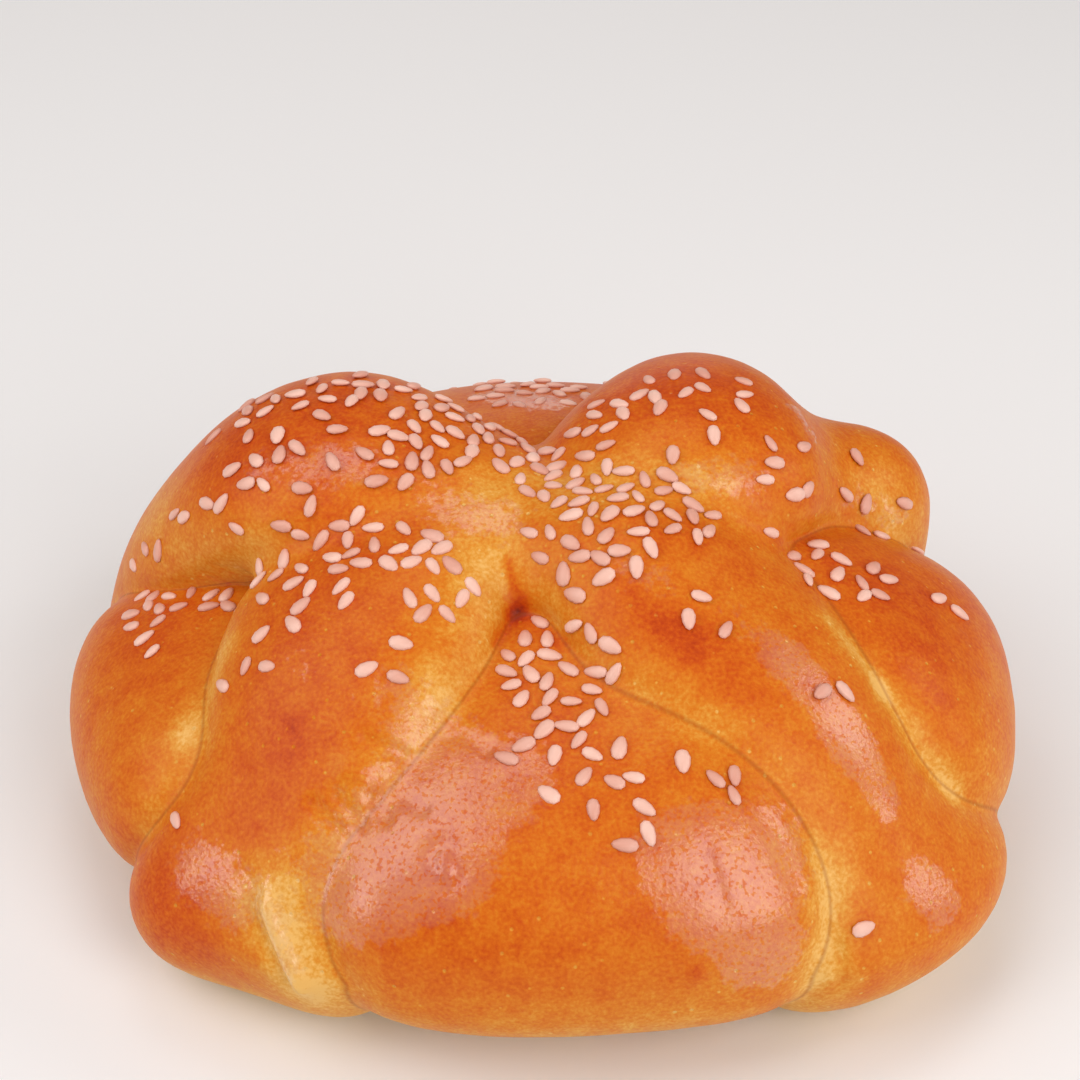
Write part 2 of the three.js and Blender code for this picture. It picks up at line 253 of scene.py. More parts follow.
# points in mm, faces as rows of their corners' numbers, and one value per point for each attribute
def meshObject(name, points, faces, attributes):
    mesh = bpy.data.meshes.new(name)
    mesh.vertices.add(len(points))
    mesh.vertices.foreach_set("co", (points * mm).astype(np.float32).ravel())
    mesh.loops.add(faces.size)
    mesh.loops.foreach_set("vertex_index", faces.astype(np.int32).ravel())
    mesh.polygons.add(len(faces))
    mesh.polygons.foreach_set("loop_start", (np.arange(len(faces)) * faces.shape[1]).astype(np.int32))
    mesh.update(calc_edges=True)
    mesh.polygons.foreach_set("use_smooth", np.ones(len(faces), bool))
    for key, values in attributes.items():
        mesh.attributes.new(key, "FLOAT", "POINT").data.foreach_set("value", values.astype(np.float32))
    mesh.validate()
    piece = bpy.data.objects.new(name, mesh)
    bpy.context.scene.collection.objects.link(piece)
    return piece


crust = {
    "cells": 300,  # along each side of the net
    "still": 6.0,  # height below which the unevenness fades out
    "flat": 0.02,  # and below which the skin is the foot
    "lumps": 0.28, "lumpSize": 15.0,  # broad unevenness
    "ripples": 0.05, "rippleSize": 3.0,  # fine unevenness
    "bakeAndShade": 0.5, "topBake": 0.10, "bakeDrift": 0.10, "driftSize": 17.0, "footBake": 0.3, "footApart": -9.0,
    "flankPale": 0.12, "flankReach": 6.0,  # the stretched dough of a bone beside its seam
    "bunPale": 0.06, "bunReach": 2.5,  # and of the bun on the other side
    "footPale": 0.35, "footReach": 7.0,  # and of the rim above the foot
    "stretch": 0.6, "brownAndShade": 0.7,  # shares of the strokes below
    "ringShade": 0.08, "ringRadius": 2.1,  # painted contact shade round each seed, partly browner crust where the egg wash pooled
}
# marks in the dough: from, to, radius and height, which is negative for a dent
marks = [
    ((-21.2, -34.2, 37.9), (-16.5, -35.2, 36.4), 0.9, -0.6),  # wrinkles across the front left arm's flank
    ((-23.5, -36.9, 35.6), (-22, -37.2, 35.5), 1.3, 0.5),
    ((-27.3, -39.3, 32.5), (-23.7, -42.2, 30.5), 0.8, -0.8),
    ((-24.3, -39.3, 33.3), (-21.4, -41.5, 31.5), 0.8, -0.75),
    ((-20.3, -39.4, 33.4), (-18.2, -42, 32.7), 0.8, -0.65),
    ((-16.9, -39.7, 34), (-14, -41.9, 34.2), 0.9, -0.5),  # wrinkles beside it on the front lobe
    ((-10.3, -32.7, 37.7), (-6.6, -35.7, 37.7), 0.9, -0.5),
    ((-11.9, -47.3, 32), (-11, -49.3, 30.8), 1.9, -0.75),  # a blister with a sunken rim
    ((-11.7, -47.7, 31.8), (-11.1, -49, 31), 1.1, 1.1),
    ((18.8, -47.2, 32.8), (20.7, -51.3, 28.8), 1, -0.15),  # a scrape on the front lobe
    ((17.7, -55.8, 21), (17.7, -55.8, 21), 1.2, 0.25),  # a burst bubble
    ((-33, -46.3, 22.4), (-28.7, -52.2, 14.9), 1.3, 1.2),  # a fold between the front left knob and the lobe
    ((-34.5, -45.8, 21.9), (-30.4, -51.6, 14.8), 1, -0.7),
    ((-36.3, -42.5, 24.7), (-33.5, -45.8, 22.7), 0.9, -0.3),
    ((-28, -47, 24), (-25.1, -50.8, 19.6), 0.8, -0.25),
    ((35.3, -49.8, 18.6), (35.8, -51.3, 14.1), 0.9, -0.35),  # a pleat beside the front right knob
]
# dough that stretched and stayed pale: from, to, radius and amount
stretched = [
    ((-9, -12, 47.6), (-5, -3, 50.6), 7, 0.42),  # the saddle over the crossing
    ((-19, -2, 51.2), (-9, 2, 51.8), 5.5, 0.28),
    ((0, 1, 51), (8, -4, 52), 5, 0.28),
    ((-8, -14, 46), (-13, -28, 39.5), 5.5, 0.32),  # the right flank of the front left arm
    ((-13, -28, 39.5), (-24, -41, 29), 4, 0.3),
    ((-32, -46, 23), (-28, -51.5, 15), 4.5, 0.65),  # between that arm's knob and the front lobe
    ((33.5, -45.5, 26), (32.4, -51.4, 17), 3.2, 0.6),  # between the other knob and the lobe
    ((31, -42, 29), (31.5, -49.5, 14), 3, 0.35),  # the right rim of the front lobe
    ((9.8, 0.6, 52.7), (20, -1, 52), 4.5, 0.35),  # the front of the back right arm
    ((20, -0.5, 52), (33.4, 3.5, 49.5), 4.5, 0.12),
    ((45.8, 12, 42), (49, 11, 36), 5, 0.35),
    ((-54, -28, 21), (-61, -11, 22), 7, 0.06),  # the left edge of the left lobe
    ((55, -24, 25), (60, -10, 28), 5, 0.12),  # the right edge of the right lobe
    ((-52.3, 10.8, 36.9), (-38, -3, 43.5), 6.5, 0.5),  # the foot of the back left arm's flank
    ((3, -16, 44), (20, -33, 38), 4, 0.2),  # under the front right arm
    ((-17, -55, 14), (20, -57, 12), 5, 0.25),  # the rim of the front lobe
    ((-39.5, -15.7, 37.9), (-44.2, -24.9, 29.2), 2, 0.4),  # beside the left lobe
    ((-44.2, -24.9, 29.2), (-48.5, -31, 21), 2.6, 0.5),
    ((35.9, -15.6, 41.2), (41.9, -22.5, 35.6), 1.8, 0.6),  # beside the right lobe
    ((41.9, -22.5, 35.6), (51.3, -28.3, 23.6), 2.2, 0.65),
]
# crust that browned most, and painted shade in the pit between the front arms and its creases: from, to,
# radius and amount
brownedAndShaded = [
    ((-31, -17, 43.8), (-33, -36, 32), 8, 0.22),  # the crest of the front left arm
    ((-46, -41, 19), (-48, -38, 20), 8, 0.22),  # its knob
    ((-42, -45, 14), (-36, -49.5, 12), 4.5, 0.22),
    ((51, -39.6, 21.5), (55, -35, 20.4), 6, 0.08),  # the knob of the front right arm
    ((9.4, -20.2, 47.3), (16.6, -23.6, 45.4), 4, 0.36),  # the left flank of that arm
    ((16.6, -23.6, 45.4), (23.6, -28.5, 42.4), 4.5, 0.3),
    ((-27, 14, 55), (-42, 4, 49), 9, 0.3),  # the back left arm
    ((18, 15, 56), (26, 14, 56), 9, 0.2),  # the back right arm
    ((-3.4, -14.5, 41.8), (-2.9, -14.2, 43.2), 1.7, 0.85),  # painted shade in the pit between the front arms
    ((-3.6, -13.4, 44.9), (-4.4, -11.3, 47), 0.7, 0.55),  # and in the crease over it
    ((-6, -19, 40.6), (-2.9, -14.5, 41.5), 1.2, 0.5),  # and in those beside it
    ((2, -20, 41), (-2.9, -14.5, 41.5), 1.2, 0.4),
    ((-52, -3, 30), (-50, -8, 30), 10, 0.2),  # the left lobe
    ((49, -14, 35), (46, -6, 38), 8, 0.16),  # the right lobe
    ((-10, -56, 23), (14, -55, 26), 9, 0.1),  # the front lobe
    ((14, -11, 51), (24.6, -11.4, 47.4), 4, 0.2),  # the ridge from the crossing to the right lobe
    ((-11.9, -47.3, 32), (-11, -49.3, 30.8), 2, 0.12),  # the blister
    ((-29.1, -33.4, 36.4), (-29.8, -31.8, 37.1), 1.8, 0.22),  # the reddest spot of the front left arm
    ((18.8, -47.2, 32.8), (20.7, -51.3, 28.8), 1.3, 0.15),  # the scrape
    ((17.8, -55.7, 21.2), (17.8, -55.7, 21.2), 1.1, 0.4),  # the burst bubble
]
# where the egg wash lies thick and mirrors the light, which also places the painted highlight tint: from, to,
# radius and amount
glossy = [
    ((-22.6, -47.1, 27.5), (-14.5, -40.8, 34.4), 7.5, 1.0),  # the front lobe, on its left
    ((-14.3, -46.5, 32), (-4.5, -39.7, 36.6), 6.5, 0.9),
    ((-21.5, -49.5, 26.8), (-10, -50.2, 30.3), 4, 0.8),
    ((15.9, -47.3, 32.9), (26.5, -46.2, 31.7), 6, 1.0),  # and on its right
    ((22.8, -51.1, 28.6), (25.8, -53.9, 22.3), 5.5, 1.0),
    ((18.1, -52.9, 27.2), (17, -50, 30.7), 4, 0.6),
    ((-41.5, -41.1, 22.9), (-36.5, -44.6, 21.8), 4.5, 0.9),  # the front left knob
    ((-31.8, -47.4, 21.5), (-29.6, -51, 16.6), 1.5, 0.8),  # and the fold beside it
    ((46, -42.2, 21.6), (48.6, -42.6, 19), 3.8, 0.9),  # the front right knob
    ((30, -24.8, 42.4), (37, -32.2, 36.2), 3.2, 1.0),  # a streak along that arm
    ((37, -32.2, 36.2), (41.2, -36.4, 30.3), 3.2, 0.8),
    ((22.9, -19.5, 46), (30, -24.8, 42.4), 3.5, 0.4),
    ((10.7, -15.7, 50), (14.3, -17.3, 48.9), 3.5, 0.5),
    ((-36.6, 2.7, 51.9), (-26.1, 1.7, 53.4), 4.5, 0.5),  # the back left arm
    ((-26, 1, 53.1), (-15.8, 1.1, 52.2), 4, 0.25),
    ((-30.3, -24.4, 41.2), (-28.2, -26.7, 40.8), 3, 0.35),  # the front left arm
    ((-17.8, -29, 41.2), (-13.6, -31.1, 38.3), 5, 0.5),
    ((-11.8, -4.7, 50.2), (-5.5, -6.1, 49.7), 5, 0.6),  # the crossing
    ((18.7, -0.9, 52.2), (26.5, 0.8, 51.8), 4, 0.6),  # the front of the back right arm
    ((33.6, 15.2, 52.1), (35.5, 12.8, 50.5), 3, 0.5),
    ((-6.3, 37.6, 39.7), (0.2, 33.8, 41), 5, 0.8),  # the back lobe
    ((41.3, 9.8, 41.2), (49, 12.7, 36.5), 3.5, 0.5),  # the right lobe
]


# distance to the segment from a to b: |p - a - t (b - a)|, t = (p - a)(b - a) / (b - a)^2 held to 0..1
def nearLine(p, start, end):
    start, line = np.array(start, float), np.subtract(end, start)
    t = np.clip((p - start) @ line / max(line @ line, 1e-9), 0, 1)
    return np.linalg.norm(p - start - t[:, None] * line, axis=1)


# sum of amount exp(-(distance / radius)^2)
def strokes(p, lines):
    return sum(amount * np.exp(-(nearLine(p, start, end) / radius) ** 2)
               for start, end, radius, amount in lines)


# how far the crust is baked, 0 for raw dough and 1 for dark crust, with painted shade: an even bake, more on
# top, drifting, less along the seams and the foot, with the strokes, painted shade in the pit among them, and
# the rings of painted shade round the seeds
def bakeAndShadeLevel(p, normals, apart):
    reach = np.where(apart < 0, crust["flankReach"], crust["bunReach"])
    pale = np.where(apart < 0, crust["flankPale"], crust["bunPale"]) * np.exp(-(apart / reach) ** 2)
    drift = crust["bakeDrift"] * noise(p, crust["driftSize"], 5)
    foot = crust["footPale"] * np.exp(-(p[:, 2] / crust["footReach"]) ** 2)
    bakeAndShade = crust["bakeAndShade"] + crust["topBake"] * normals[:, 2] + drift - pale - foot
    bakeAndShade = bakeAndShade - crust["stretch"] * strokes(p, stretched) + crust["brownAndShade"] * strokes(p, brownedAndShaded)
    return bakeAndShade + seedShadeRings(p)


# painted contact shade round the seeds, partly browner crust where the egg wash pooled: amount exp(-(distance
# from the seed's middle / radius)^2)
def seedShadeRings(p):
    places = seedPlaces()[:, :2]
    nearest = np.full(len(p), np.inf)
    for x, y in places:
        nearest = np.minimum(nearest, (p[:, 0] - x) ** 2 + (p[:, 1] - y) ** 2)
    return crust["ringShade"] * np.exp(-nearest / crust["ringRadius"] ** 2)


# skin + normal (lumps + ripples + marks) times height / still, held to 0..1; the foot's middle comes last
def makeCrust():
    directions = netDirections(crust["cells"])
    points = skinPoints(np.array([[0, 0, breadForm["heart"]]]), directions)
    normals = skinNormals(points)
    grown = np.clip(points[:, 2] / crust["still"], 0, 1)
    lumps = crust["lumps"] * noise(points, crust["lumpSize"], 1)
    ripples = crust["ripples"] * noise(points, crust["rippleSize"], 2)
    shaped = points + normals * ((lumps + ripples + strokes(points, marks)) * grown)[:, None]
    shaped[:, 2] = np.where(shaped[:, 2] < crust["flat"], 0, shaped[:, 2])
    footMiddle = [[0, 0, 0]]
    apart = bonesField(points) - bunField(points)  # 0 along the seams
    faces = netFaces(np.concatenate([points, footMiddle]), crust["cells"])
    return meshObject("crust", np.concatenate([shaped, footMiddle]), faces, {
        "apart": np.append(apart, crust["footApart"]),
        "bakeAndShade": np.append(bakeAndShadeLevel(points, normals, apart), crust["footBake"]),
        "gloss": np.append(strokes(points, glossy), 0),
    })


seedForm = {
    "length": 3.0, "width": 2.05, "thickness": 1.05, "proud": 0.2, "taper": 0.35,
    "variation": 0.12, "plumpness": 0.25,  # in size, and in width alone
    "spacing": 4.0,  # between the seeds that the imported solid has
    "closeSpacing": 2.3,  # and between the added ones
    "crowding": 0.6, "tries": 60,  # 0.5 would strew them evenly, and more crowds a patch's middle
    "lowest": 3.0,  # height under which none lies
    "around": 8, "along": 5,
}
# where the seeds lie, seen from above: x, y, length, width, heading, number in the solid and number added
patches = [
    (-7, 10, 30, 11, -41, 15, 30),  # the ridge over the crossing, its back half
    (10, -4, 26, 11, -18, 13, 27),  # its front half
    (7, 9, 12, 7, 80, 4, 8),  # the inner edge of the back right arm
    (-30, 17, 30, 9, 10, 5, 11),  # the top of the back left arm
    (-28, 10, 24, 10, 0, 3, 5),  # under that top
    (-18, 6, 16, 10, 70, 4, 8),  # beside the ridge
    (-31, 1, 24, 10, -10, 3, 6),  # the flank of the back left arm
    (-24, -9, 28, 8, -14, 10, 22),  # the shoulder of the front left arm
    (-46, 1, 28, 6, -34, 5, 12),  # the top edge of the left lobe
    (-29, -14, 18, 7, -20, 2, 4),  # under that shoulder
    (-12, -17, 13, 6, 25, 2, 4),  # the inner end of that arm
    (-34, -21, 16, 8, 40, 2, 3),  # the back of that arm
    (-19, -25, 16, 8, -10, 1, 2),  # its right flank
    (-51, -4, 17, 12, -40, 3, 5),  # the left lobe
    (-45, -34, 1, 1, 0, 1, 0),  # the front left knob
    (2, -25.5, 20, 13, -68, 12, 24),  # the top of the front lobe
    (8.5, -41, 15, 9, -80, 4, 5),  # the middle of the front lobe
    (-3, -37, 14, 9, -50, 2, 2),  # the left of the front lobe
    (20, -39, 10, 4, -20, 2, 2),  # the right of the front lobe
    (6, -12, 20, 12, -40, 6, 10),  # the inner end of the front right arm
    (20, -21, 8, 6, 0, 2, 1),  # the crest of that arm
    (34, -26, 12, 4, -25, 1, 1),  # the back of that arm
    (38.5, -49, 7, 2, -38, 1, 1),  # the front right knob
    (34, -3, 16, 10, -50, 5, 8),  # the inner end of the right lobe
    (47, 11, 14, 6, 20, 3, 4),  # the back of the right lobe
    (42, -6, 8, 7, 0, 2, 3),  # the top of the right lobe
    (53, -5, 4, 3, 0, 1, 1),  # the right of the right lobe
    (20, 14, 16, 12, 0, 4, 8),  # the top of the back right arm
    (22, 5, 28, 8, 10, 2, 2),  # the front of that arm
    (43, 17, 3, 3, 0, 1, 0),  # its end
    (-2, 38, 18, 13, 0, 6, 12),  # the back lobe
    (0, 47, 80, 20, 0, 5, 10),  # strays round the back
    (6, -2, 16, 7, -25, 0, 8),  # the crossing, in front of the ridge
    (-14, 4, 11, 6, 0, 0, 5),  # and on its left
]


# draw(n) = the fraction of 43758.5453 sin(12.9898 n + 4.1414)
def draw(number):
    wave = math.sin(number * 12.9898 + 4.1414) * 43758.5453
    return wave - math.floor(wave)


# x, y and number of each seed: in a patch at radius draw(n)^crowding / 2 and turn 2 pi draw(n + 1/2), drawn
# again where another seed is too near
def seedPlaces():
    places = []
    number = 0
    for spacing, column in ((seedForm["spacing"], 5), (seedForm["closeSpacing"], 6)):
        for patch in patches:
            x0, y0, length, width, heading = patch[:5]
            c, s = math.cos(math.radians(heading)), math.sin(math.radians(heading))
            for _ in range(patch[column]):
                for _ in range(seedForm["tries"]):
                    number += 1
                    out = draw(number) ** seedForm["crowding"] / 2
                    turn = 2 * math.pi * draw(number + 0.5)
                    along, across = out * math.cos(turn) * length, out * math.sin(turn) * width
                    x, y = x0 + along * c - across * s, y0 + along * s + across * c
                    if all(math.hypot(px - x, py - y) >= spacing for px, py, _ in places):
                        places.append((x, y, number))
                        break
    return np.array(places)


# a flat teardrop: x = -cos v / 2, radius = sin v / 2 (1 - taper (x + 1/2)), turned round x
def makeSeeds():
    places = seedPlaces()
    start = np.stack([places[:, 0], places[:, 1], np.zeros(len(places))], -1)
    spots = skinPoints(start, np.array([[0, 0, 1.0]]))
    landed = spots[:, 2] > seedForm["lowest"]  # the others missed the bread
    places, spots = places[landed], spots[landed]
    print("seeds:", len(places))

    def drawEach(part):
        return np.array([draw(number + part) for number in places[:, 2]])

    normals = skinNormals(spots)
    turn = 2 * math.pi * drawEach(0.75)
    side = np.cross(np.stack([np.cos(turn), np.sin(turn), 0 * turn], -1), normals)
    side /= np.linalg.norm(side, axis=1, keepdims=True)
    ahead = np.cross(side, normals)
    around, along = seedForm["around"], seedForm["along"]
    v, u = np.meshgrid(
        np.arange(1, along) * math.pi / along, np.arange(around) * 2 * math.pi / around, indexing="ij")
    x = np.concatenate([[-0.5], (-np.cos(v) / 2).ravel(), [0.5]])
    radius = np.concatenate([[0], (np.sin(v) / 2).ravel(), [0]]) * (1 - seedForm["taper"] * (x + 0.5))
    angle = np.concatenate([[0], u.ravel(), [0]])
    size = 1 + seedForm["variation"] * (2 * drawEach(0.25) - 1)
    plump = 1 + seedForm["plumpness"] * (drawEach(0.35) - 0.5)
    shape = np.stack([
        x[None] * (seedForm["length"] * size)[:, None],
        (radius * np.cos(angle))[None] * (seedForm["width"] * size * plump)[:, None],
        (radius * np.sin(angle))[None] * (seedForm["thickness"] * size)[:, None],
    ], -1)
    centre = spots + normals * seedForm["proud"]
    points = centre[:, None] + np.einsum("nvk,nkj->nvj", shape, np.stack([ahead, side, normals], 1))
    rings = 1 + np.arange((along - 1) * around).reshape(along - 1, around)  # the points of each ring
    after = np.roll(rings, -1, axis=1)
    faces = [np.stack([np.zeros(around, int), after[0], rings[0]], 1)]
    for k in range(along - 2):
        faces.append(np.stack([rings[k], after[k], after[k + 1]], 1))
        faces.append(np.stack([rings[k], after[k + 1], rings[k + 1]], 1))
    faces.append(np.stack([rings[-1], after[-1], np.full(around, len(x) - 1)], 1))
    faces = np.concatenate(faces)
    every = (faces[None] + (np.arange(len(places)) * len(x))[:, None, None]).reshape(-1, 3)
    return meshObject("sesameSeeds", points.reshape(-1, 3), every, {
        "shade": np.repeat(drawEach(0.65), len(x)), "tip": np.tile(x + 0.5, len(places))})


# sRGB hex to linear light: c / 12.92, or ((c + 0.055) / 1.055)^2.4 above 0.04045
def linear(hexColour):
    parts = [int(hexColour[k:k + 2], 16) / 255 for k in (1, 3, 5)]
    return [c / 12.92 if c <= 0.04045 else ((c + 0.055) / 1.055) ** 2.4 for c in parts] + [1]


# adds a node with its settings; links are (socket name or number, value or another node's output)
def addNode(tree, kind, links=(), **settings):
    node = tree.nodes.new(kind)
    for key, value in settings.items():
        setattr(node, key, value)
    for socket, value in dict(links).items():
        if isinstance(value, bpy.types.NodeSocket):
            tree.links.new(value, node.inputs[socket])
        else:
            node.inputs[socket].default_value = value
    return node


# a material with no nodes yet, and its tree
def newMaterial(name):
    material = bpy.data.materials.new(name)
    material.use_nodes = True
    material.node_tree.nodes.clear()
    return material, material.node_tree


# Sizes are in mm. The real grain and specks are finer, and are drawn as coarse as they need to be to show.
crustFinish = {
    # colours from pale dough to dark crust, with the bake level of each
    "colours": [
        (0.0, "#e8ba68"), (0.2, "#dc9d3c"), (0.4, "#d5801e"), (0.6, "#cf6912"),
        (0.8, "#c4500d"), (1.0, "#b23c0b"), (1.5, "#7c220c"),
    ],
    "seamShadeColour": "#94400f", "seamShadeWidth": 0.3, "seamShadeDepth": 0.4,  # painted shade: a dark line down each seam's crease
    "mottleSize": 3.2, "mottle": 0.25, "speckSize": 0.5, "speck": 0.3,  # uneven baking
    "roughness": 0.42, "ior": 1.5, "shine": 0.14,  # of the dry crust
    "washLeast": 0.06, "washMost": 1.0, "washRoughness": 0.22, "washIor": 1.6,  # of the egg wash over it
    "paintedHighlight": 0.09, "paintedHighlightColour": "#d2c6c2",  # painted highlight: a pale milky tint mixed into the colour where the wash lies glossy
    "patchSize": 1.4, "patchEdge": 1.1, "patchFrom": 0.36, "patchTo": 0.56,  # the wash ends raggedly
    "holeSize": 0.55, "holeFrom": 0.56, "holeTo": 0.64, "holes": 0.7,  # and has pinholes
    "poreSize": 2.6, "pitReach": 0.12, "poreHeight": 0.12,  # tiny pits
    "pale": 0.3, "paleFrom": 0.06, "paleTo": 0.13,  # each with a pale speck
    "peelSize": 1.0, "peelHeight": 0.06,  # orange peel
    "grainSize": 0.4, "grainHeight": 0.03,
}


# Browned crust under a baked egg wash: even, satin and a little grainy, redder where it browned most and pale
# gold where the dough stretched, with soft pink-white reflections that the orange-peel surface breaks up, a
# painted pale highlight tint where the wash lies glossy and a painted dark shade line along each seam.
def eggWashedCrust():
    f = crustFinish
    material, tree = newMaterial("eggWashedCrust")

    def scale(size):
        return 1 / (size * mm)

    place = addNode(tree, "ShaderNodeTexCoord").outputs["Object"]
    apart = addNode(tree, "ShaderNodeAttribute", attribute_name="apart").outputs["Fac"]
    # the bake level, carrying painted shade round the seeds and in the pit between the front arms
    bakeAndShade = addNode(tree, "ShaderNodeAttribute", attribute_name="bakeAndShade").outputs["Fac"]
    mottle = addNode(tree, "ShaderNodeTexNoise", {
        "Vector": place, "Scale": scale(f["mottleSize"]), "Detail": 3, "Roughness": 0.6}).outputs["Fac"]
    speck = addNode(tree, "ShaderNodeTexNoise", {
        "Vector": place, "Scale": scale(f["speckSize"]), "Detail": 2, "Roughness": 0.5}).outputs["Fac"]
    uneven = addNode(tree, "ShaderNodeMath", {
        0: mottle, 1: 2 * f["mottle"], 2: -f["mottle"] - f["speck"]}, operation="MULTIPLY_ADD").outputs[0]
    uneven = addNode(tree, "ShaderNodeMath", {
        0: speck, 1: 2 * f["speck"], 2: uneven}, operation="MULTIPLY_ADD").outputs[0]
    pore = addNode(tree, "ShaderNodeTexVoronoi", {
        "Vector": place, "Scale": scale(f["poreSize"])}).outputs["Distance"]
    pale = addNode(tree, "ShaderNodeMapRange", {
        "Value": pore, 1: f["paleFrom"], 2: f["paleTo"], 3: -f["pale"], 4: 0,
    }, interpolation_type="SMOOTHSTEP").outputs[0]
    uneven = addNode(tree, "ShaderNodeMath", {0: uneven, 1: pale}, operation="ADD").outputs[0]
    level = addNode(tree, "ShaderNodeMath", {0: bakeAndShade, 1: uneven}, operation="ADD").outputs[0]
    darkest = f["colours"][-1][0]
    level = addNode(tree, "ShaderNodeMath", {0: level, 1: darkest}, operation="DIVIDE").outputs[0]
    ramp = addNode(tree, "ShaderNodeValToRGB", {"Fac": level})
    stops = ramp.color_ramp.elements
    while len(stops) < len(f["colours"]):
        stops.new(0.5)
    for stop, (position, colour) in zip(stops, f["colours"]):
        stop.position, stop.color = position / darkest, linear(colour)
    # painted shade: the colour darkens towards a dark brown along each seam's crease
    near = addNode(tree, "ShaderNodeMath", {0: apart}, operation="ABSOLUTE").outputs[0]
    line = addNode(tree, "ShaderNodeMapRange", {
        "Value": near, 1: 0, 2: f["seamShadeWidth"], 3: f["seamShadeDepth"], 4: 0,
    }, interpolation_type="SMOOTHSTEP").outputs[0]
    colour = addNode(tree, "ShaderNodeMix", {
        0: line, 6: ramp.outputs["Color"], 7: linear(f["seamShadeColour"])}, data_type="RGBA").outputs[2]
    peel = addNode(tree, "ShaderNodeTexNoise", {
        "Vector": place, "Scale": scale(f["peelSize"]), "Detail": 2, "Roughness": 0.55}).outputs["Fac"]
    grain = addNode(tree, "ShaderNodeTexNoise", {
        "Vector": place, "Scale": scale(f["grainSize"]), "Detail": 1, "Roughness": 0.5}).outputs["Fac"]
    pit = addNode(tree, "ShaderNodeMapRange", {
        "Value": pore, 1: 0, 2: f["pitReach"], 3: -f["poreHeight"] * mm, 4: 0,
    }, interpolation_type="SMOOTHSTEP").outputs[0]
    height = addNode(tree, "ShaderNodeMath", {
        0: peel, 1: f["peelHeight"] * mm, 2: pit}, operation="MULTIPLY_ADD").outputs[0]
    height = addNode(tree, "ShaderNodeMath", {
        0: grain, 1: f["grainHeight"] * mm, 2: height}, operation="MULTIPLY_ADD").outputs[0]
    bump = addNode(tree, "ShaderNodeBump", {
        "Height": height, "Distance": 1.0, "Strength": 1.0}).outputs["Normal"]
    gloss = addNode(tree, "ShaderNodeAttribute", attribute_name="gloss").outputs["Fac"]
    patch = addNode(tree, "ShaderNodeTexNoise", {
        "Vector": place, "Scale": scale(f["patchSize"]), "Detail": 3, "Roughness": 0.6}).outputs["Fac"]
    patch = addNode(tree, "ShaderNodeMath", {
        0: patch, 1: f["patchEdge"], 2: gloss}, operation="MULTIPLY_ADD").outputs[0]
    half = f["patchEdge"] / 2
    wash = addNode(tree, "ShaderNodeMapRange", {
        "Value": patch, 1: f["patchFrom"] + half, 2: f["patchTo"] + half, 3: f["washLeast"], 4: f["washMost"],
    }, interpolation_type="SMOOTHSTEP").outputs[0]
    hole = addNode(tree, "ShaderNodeTexNoise", {
        "Vector": place, "Scale": scale(f["holeSize"]), "Detail": 1, "Roughness": 0.5}).outputs["Fac"]
    hole = addNode(tree, "ShaderNodeMapRange", {
        "Value": hole, 1: f["holeFrom"], 2: f["holeTo"], 3: 1, 4: 1 - f["holes"],
    }, interpolation_type="SMOOTHSTEP").outputs[0]
    wash = addNode(tree, "ShaderNodeMath", {0: wash, 1: hole}, operation="MULTIPLY").outputs[0]
    # painted highlight: the colour is mixed towards a pale milky tint where the wash lies glossy
    paintedHighlight = addNode(tree, "ShaderNodeMath", {0: wash, 1: gloss}, operation="MULTIPLY").outputs[0]
    paintedHighlight = addNode(tree, "ShaderNodeMath", {0: paintedHighlight, 1: f["paintedHighlight"]}, operation="MULTIPLY").outputs[0]
    colour = addNode(tree, "ShaderNodeMix", {
        0: paintedHighlight, 6: colour, 7: linear(f["paintedHighlightColour"])}, data_type="RGBA").outputs[2]
    shader = addNode(tree, "ShaderNodeBsdfPrincipled", {
        "Base Color": colour, "Roughness": f["roughness"], "IOR": f["ior"], "Normal": bump,
        "Specular IOR Level": f["shine"], "Coat Weight": wash, "Coat Roughness": f["washRoughness"],
        "Coat IOR": f["washIor"], "Coat Normal": bump,
    })
    addNode(tree, "ShaderNodeOutputMaterial", {"Surface": shader.outputs[0]})
    return material


seedFinish = {
    "light": "#f2cdbf", "dark": "#d89e8c", "roughness": 0.4, "ior": 1.47,
    "toast": 0.8, "tipToast": 0.35, "toastLess": 0.1,  # toasting by seed, at the tip, and less all over
}


# Hulled sesame: satin cream seeds, warmed by the crust round them, some toasted darker, mostly at the tip.
def hulledSesame():
    f = seedFinish
    material, tree = newMaterial("hulledSesame")
    shade = addNode(tree, "ShaderNodeAttribute", attribute_name="shade").outputs["Fac"]
    tip = addNode(tree, "ShaderNodeAttribute", attribute_name="tip").outputs["Fac"]
    toasted = addNode(tree, "ShaderNodeMath", {
        0: tip, 1: f["tipToast"], 2: -f["toastLess"]}, operation="MULTIPLY_ADD").outputs[0]
    toasted = addNode(tree, "ShaderNodeMath", {
        0: shade, 1: f["toast"], 2: toasted}, operation="MULTIPLY_ADD", use_clamp=True).outputs[0]
    colour = addNode(tree, "ShaderNodeMix", {
        0: toasted, 6: linear(f["light"]), 7: linear(f["dark"])}, data_type="RGBA").outputs[2]
    shader = addNode(tree, "ShaderNodeBsdfPrincipled", {
        "Base Color": colour, "Roughness": f["roughness"], "IOR": f["ior"],
    })
    addNode(tree, "ShaderNodeOutputMaterial", {"Surface": shader.outputs[0]})
    return material


cameraValues = {  # focal length and frame in pixels, distance and target in mm, clipping in metres
    "focal": 2115, "distance": 296, "elevation": 42, "target": (0, 0, 12), "targetPixel": (544, 709.7),
    "frame": 1080, "sensor": 36, "nearest": 0.01, "farthest": 20,
}


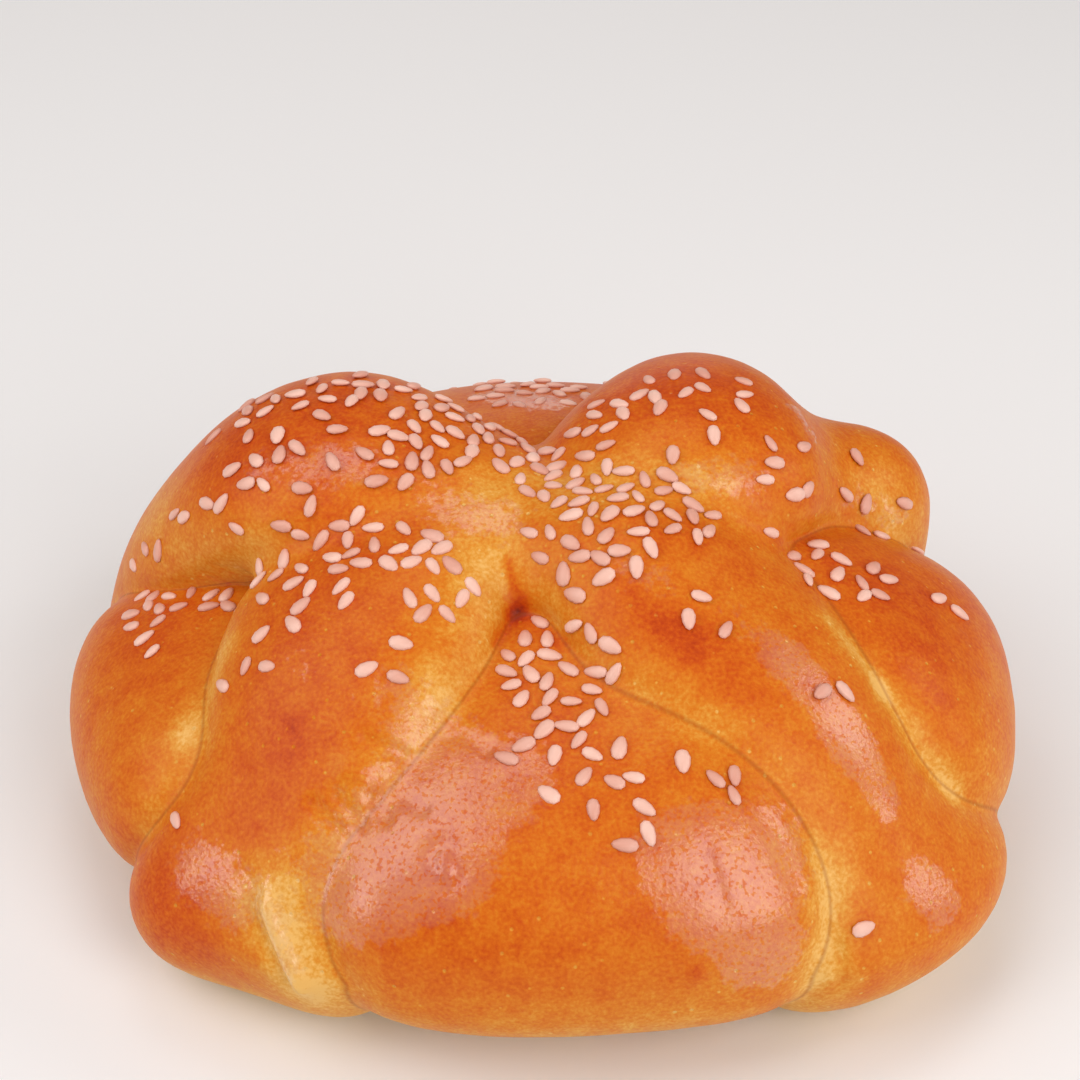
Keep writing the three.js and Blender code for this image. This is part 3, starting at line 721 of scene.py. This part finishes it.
# stands at the target + distance (0, -cos e, sin e), turned so that the target falls on its pixel: by the
# arctangent of the pixel's place, counted from the middle, over the focal length
def makeCamera():
    c = cameraValues
    e = math.radians(c["elevation"])
    place = Vector(c["target"]) + c["distance"] * Vector((0, -math.cos(e), math.sin(e)))
    right = (c["targetPixel"][0] - c["frame"] / 2) / c["focal"]
    down = (c["targetPixel"][1] - c["frame"] / 2) / c["focal"]
    pitch, yaw = e - math.atan(down), math.atan(right)
    ahead = Vector((-math.sin(yaw) * math.cos(pitch), math.cos(yaw) * math.cos(pitch), -math.sin(pitch)))
    across = Vector((math.cos(yaw), math.sin(yaw), 0))
    over = across.cross(ahead)
    camera = bpy.data.cameras.new("camera")
    camera.sensor_width = c["sensor"]
    camera.lens = c["focal"] / c["frame"] * c["sensor"]
    camera.clip_start, camera.clip_end = c["nearest"], c["farthest"]
    piece = bpy.data.objects.new("camera", camera)
    bpy.context.scene.collection.objects.link(piece)
    turn = Matrix((across, over, -ahead)).transposed().to_4x4()
    piece.matrix_world = Matrix.Translation(place * mm) @ turn
    bpy.context.scene.camera = piece


floorValues = {"half": 3.0, "colour": "#eef7fd", "roughness": 0.7}  # half its width in metres


# Matt pale studio floor, a square at z = 0.
def makeFloor():
    mesh = bpy.data.meshes.new("floor")
    half = floorValues["half"]
    corners = [(-half, -half, 0), (half, -half, 0), (half, half, 0), (-half, half, 0)]
    mesh.from_pydata(corners, [], [(0, 1, 2, 3)])
    piece = bpy.data.objects.new("floor", mesh)
    bpy.context.scene.collection.objects.link(piece)
    material, tree = newMaterial("paleFloor")
    shader = addNode(tree, "ShaderNodeBsdfPrincipled", {
        "Base Color": linear(floorValues["colour"]), "Roughness": floorValues["roughness"]})
    addNode(tree, "ShaderNodeOutputMaterial", {"Surface": shader.outputs[0]})
    mesh.materials.append(material)


# the lamps' distance from the point that they aim at, and the room's even light
studio = {"distance": 800, "room": 0.28, "roomColour": "#fff0e4", "aim": (0, 0, 25)}
lights = {  # azimuth, elevation, width, height, brightness and colour of each soft box
    "right": (-52, 35, 460, 700, 3.0, "#fff2ec"),
    "left": (190, 50, 600, 800, 2.2, "#fff2ec"),
    "high": (95, 73, 300, 300, 2.4, "#fff4f0"),
    "rim": (8, 34, 240, 340, 3.6, "#fff2ec"),
    "knobLeft": (-150, 20, 240, 200, 3.4, "#fff2ec"),
    "knobRight": (-11, 14, 180, 150, 4.4, "#fff2ec"),
    "back": (92, 8, 400, 140, 1.6, "#fff2ec"),
    "front": (-60, 20, 900, 500, 0.35, "#fff4ec"),
}


# power = brightness pi width height, for a box that shines evenly from one side
def makeLights():
    for name, (azimuth, elevation, width, height, brightness, colour) in lights.items():
        light = bpy.data.lights.new(name, "AREA")
        light.shape, light.size, light.size_y = "RECTANGLE", width * mm, height * mm
        light.energy = brightness * math.pi * width * height * mm * mm
        light.color = linear(colour)[:3]
        piece = bpy.data.objects.new(name, light)
        bpy.context.scene.collection.objects.link(piece)
        a, e = math.radians(azimuth), math.radians(elevation)
        way = Vector((math.cos(e) * math.cos(a), math.cos(e) * math.sin(a), math.sin(e)))
        piece.location = (Vector(studio["aim"]) + way * studio["distance"]) * mm
        piece.rotation_euler = way.to_track_quat("Z", "Y").to_euler()
    world = bpy.data.worlds.new("studio")
    bpy.context.scene.world = world
    world.use_nodes = True
    background = world.node_tree.nodes["Background"]
    background.inputs["Color"].default_value = linear(studio["roomColour"])
    background.inputs["Strength"].default_value = studio["room"]
    bpy.context.scene.view_settings.view_transform = "Standard"


print("stage: crust")
crustPiece = makeCrust()
crustPiece.data.materials.append(eggWashedCrust())
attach(crustPiece, "root")
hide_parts("bread")

print("stage: seeds")
seedPiece = makeSeeds()
seedPiece.data.materials.append(hulledSesame())
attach(seedPiece, "root")

print("stage: studio")
makeCamera()
makeFloor()
makeLights()
